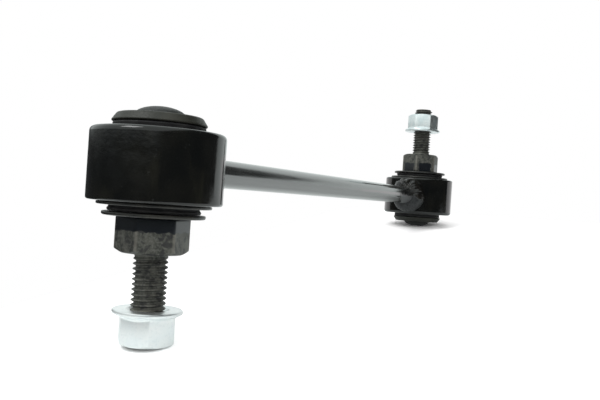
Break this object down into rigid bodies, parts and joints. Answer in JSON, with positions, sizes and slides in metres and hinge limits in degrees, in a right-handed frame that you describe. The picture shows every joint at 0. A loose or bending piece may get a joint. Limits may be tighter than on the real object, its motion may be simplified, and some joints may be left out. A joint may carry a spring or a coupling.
{
  "type": "stabilizer link",
  "caption": "Vehicle stabilizer link: painted rod with a rubber-bushed eye at each end, threaded studs pointing opposite ways, each with a flange nut.",
  "frame": {"origin": "halfway along the rod, on the line through both eye centres, which is the centre of the whole link's box", "axes": "+X from eye A to eye B along the rod, +Z along the stud of eye B and away from the stud of eye A"},
  "size_m": [0.346, 0.046, 0.1218],
  "materials": {
    "gloss_black_paint": "gloss black paint over steel and weld",
    "dark_pressed_steel": "dark satin coating on pressed steel",
    "phosphate_steel": "dark olive phosphate coating, matt",
    "zinc_plate": "bright bluish zinc plate",
    "black_rubber": "matt black rubber"
  },
  "bodies": {
    "link_arm": {"link_rod": "gloss_black_paint", "eye_ring_a": "gloss_black_paint", "eye_ring_b": "gloss_black_paint", "weld_bead_a": "gloss_black_paint", "weld_bead_b": "gloss_black_paint", "outer_sleeve_a": "dark_pressed_steel", "outer_sleeve_b": "dark_pressed_steel"},
    "bush_a": {"bush_stud_side_a": "black_rubber", "bush_cap_side_a": "black_rubber"},
    "core_a": {"inner_sleeve_a": "dark_pressed_steel"},
    "stud_a": {"stud_a": "phosphate_steel", "seat_washer_a": "dark_pressed_steel", "end_washer_a": "dark_pressed_steel"},
    "nut_a": {"flange_nut_a": "zinc_plate"},
    "bush_b": {"bush_stud_side_b": "black_rubber", "bush_cap_side_b": "black_rubber"},
    "core_b": {"inner_sleeve_b": "dark_pressed_steel"},
    "stud_b": {"stud_b": "phosphate_steel", "seat_washer_b": "dark_pressed_steel", "end_washer_b": "dark_pressed_steel"},
    "nut_b": {"flange_nut_b": "zinc_plate"}
  },
  "joints": [
    {"name": "tilt_a", "type": "hinge", "parent": "link_arm", "child": "bush_a", "pos_m": [-0.15, 0, 0], "axis": [0, 1, 0], "range_deg": [-4.5, 4.5], "stiffness_Nm_per_rad": 60, "deforming": ["bush_stud_side_a", "bush_cap_side_a"]},
    {"name": "rock_a", "type": "hinge", "parent": "bush_a", "child": "core_a", "pos_m": [-0.15, 0, 0], "axis": [1, 0, 0], "range_deg": [-4.5, 4.5], "stiffness_Nm_per_rad": 60},
    {"name": "twist_a", "type": "hinge", "parent": "core_a", "child": "stud_a", "pos_m": [-0.15, 0, 0], "axis": [0, 0, 1], "range_deg": [-25, 25], "stiffness_Nm_per_rad": 25},
    {"name": "nut_travel_a", "type": "slide", "parent": "stud_a", "child": "nut_a", "axis": [0, 0, -1], "range_m": [-0.0187, 0.0128]},
    {"name": "tilt_b", "type": "hinge", "parent": "link_arm", "child": "bush_b", "pos_m": [0.15, 0, 0], "axis": [0, 1, 0], "range_deg": [-4.5, 4.5], "stiffness_Nm_per_rad": 60, "deforming": ["bush_stud_side_b", "bush_cap_side_b"]},
    {"name": "rock_b", "type": "hinge", "parent": "bush_b", "child": "core_b", "pos_m": [0.15, 0, 0], "axis": [1, 0, 0], "range_deg": [-4.5, 4.5], "stiffness_Nm_per_rad": 60},
    {"name": "twist_b", "type": "hinge", "parent": "core_b", "child": "stud_b", "pos_m": [0.15, 0, 0], "axis": [0, 0, 1], "range_deg": [-25, 25], "stiffness_Nm_per_rad": 25},
    {"name": "nut_travel_b", "type": "slide", "parent": "stud_b", "child": "nut_b", "axis": [0, 0, 1], "range_m": [-0.0157, 0.0158]}
  ]
}
